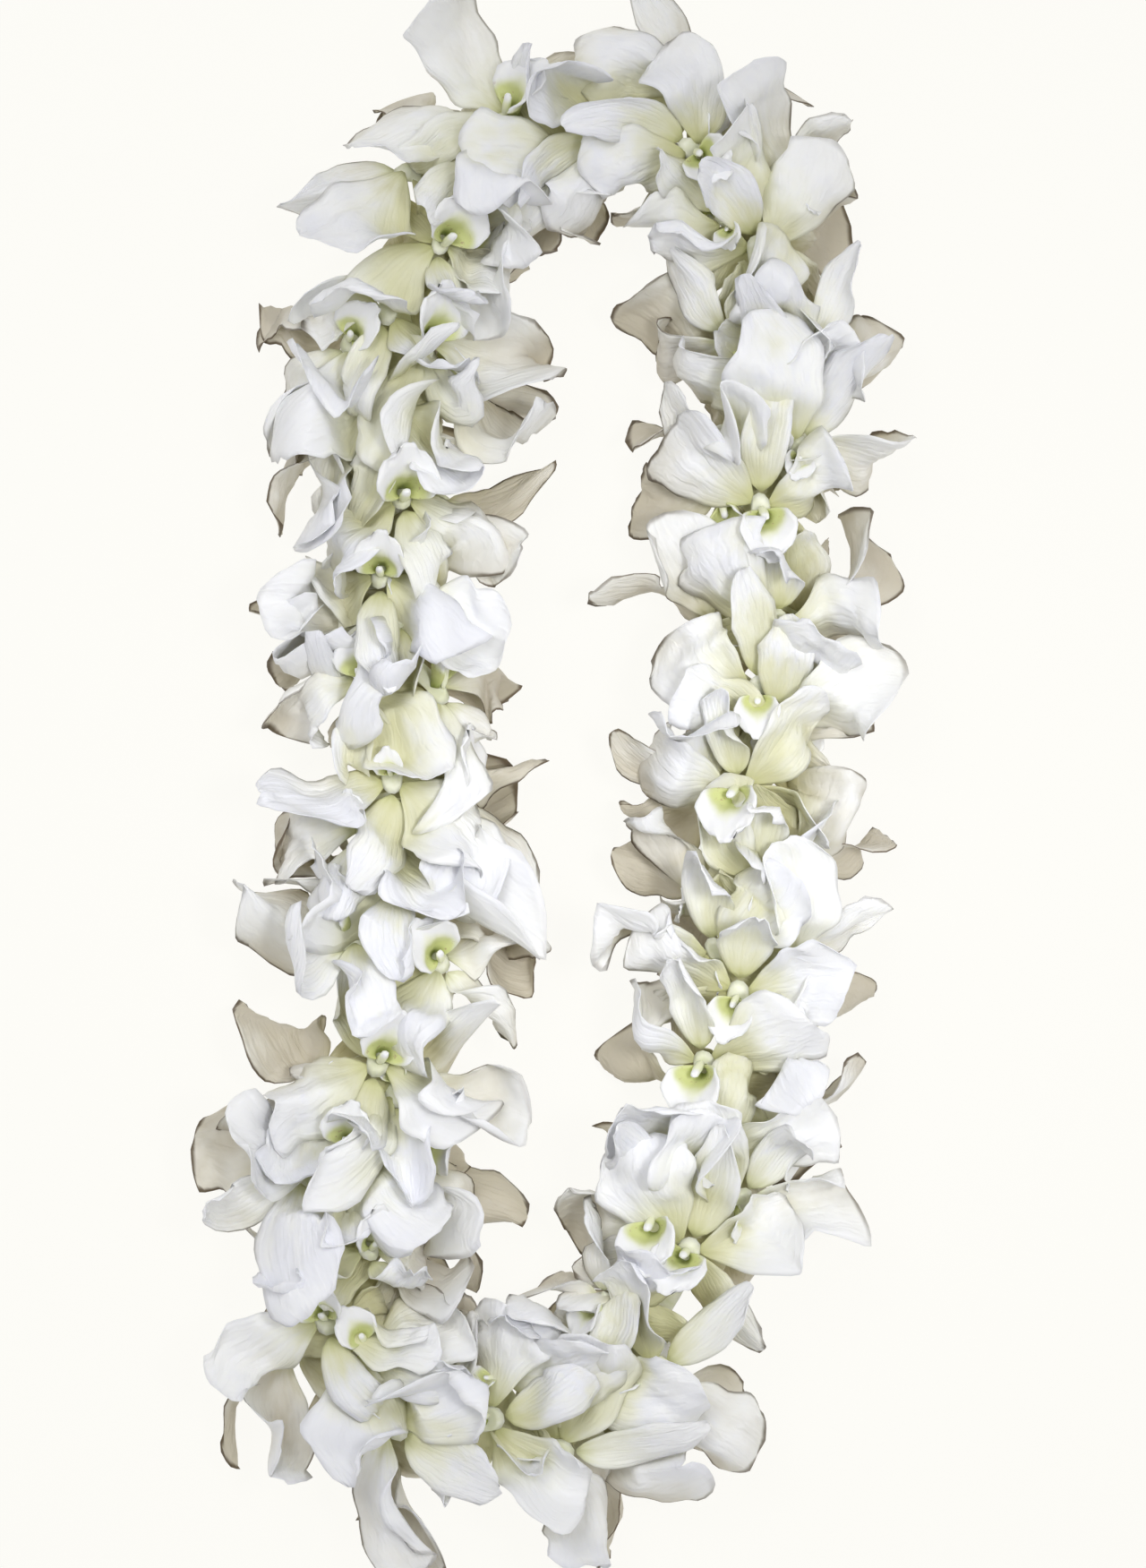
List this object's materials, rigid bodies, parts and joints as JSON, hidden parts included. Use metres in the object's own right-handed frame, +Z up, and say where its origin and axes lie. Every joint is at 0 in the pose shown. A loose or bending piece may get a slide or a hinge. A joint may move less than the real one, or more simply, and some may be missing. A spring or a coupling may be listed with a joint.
{
  "type": "fresh flower lei",
  "caption": "Closed garland of white dendrobium orchid blossoms threaded on a cotton string, every petal sweeping the same way round the loop.",
  "frame": {"origin": "on the table, under the middle of the lei's box", "axes": "+Y towards the rounded end of the loop (the top of the picture), +X to the picture's right, +Z up, away from the table"},
  "size_m": [0.2409, 0.5063, 0.064],
  "materials": {
    "petal": "soft satin petals, white with a pale green base",
    "thread": "matte cotton"
  },
  "bodies": {
    "root": {"thread": "thread", "blossoms_01": "petal", "blossoms_02": "petal", "blossoms_03": "petal", "blossoms_04": "petal", "blossoms_05": "petal", "blossoms_06": "petal", "blossoms_07": "petal", "blossoms_08": "petal", "blossoms_09": "petal", "blossoms_10": "petal", "blossoms_11": "petal", "blossoms_12": "petal", "blossoms_13": "petal", "blossoms_14": "petal", "blossoms_15": "petal", "blossoms_16": "petal", "blossoms_17": "petal", "blossoms_18": "petal", "blossoms_19": "petal", "blossoms_20": "petal", "blossoms_21": "petal", "blossoms_22": "petal", "blossoms_23": "petal", "blossoms_24": "petal", "blossoms_25": "petal", "blossoms_26": "petal", "blossoms_27": "petal", "blossoms_28": "petal", "blossoms_29": "petal", "blossoms_30": "petal", "blossoms_31": "petal", "blossoms_32": "petal", "blossoms_33": "petal", "blossoms_34": "petal", "blossoms_35": "petal", "blossoms_36": "petal", "blossoms_37": "petal", "blossoms_38": "petal", "blossoms_39": "petal", "blossoms_40": "petal", "blossoms_41": "petal", "blossoms_42": "petal", "blossoms_43": "petal", "blossoms_44": "petal"}
  },
  "joints": []
}
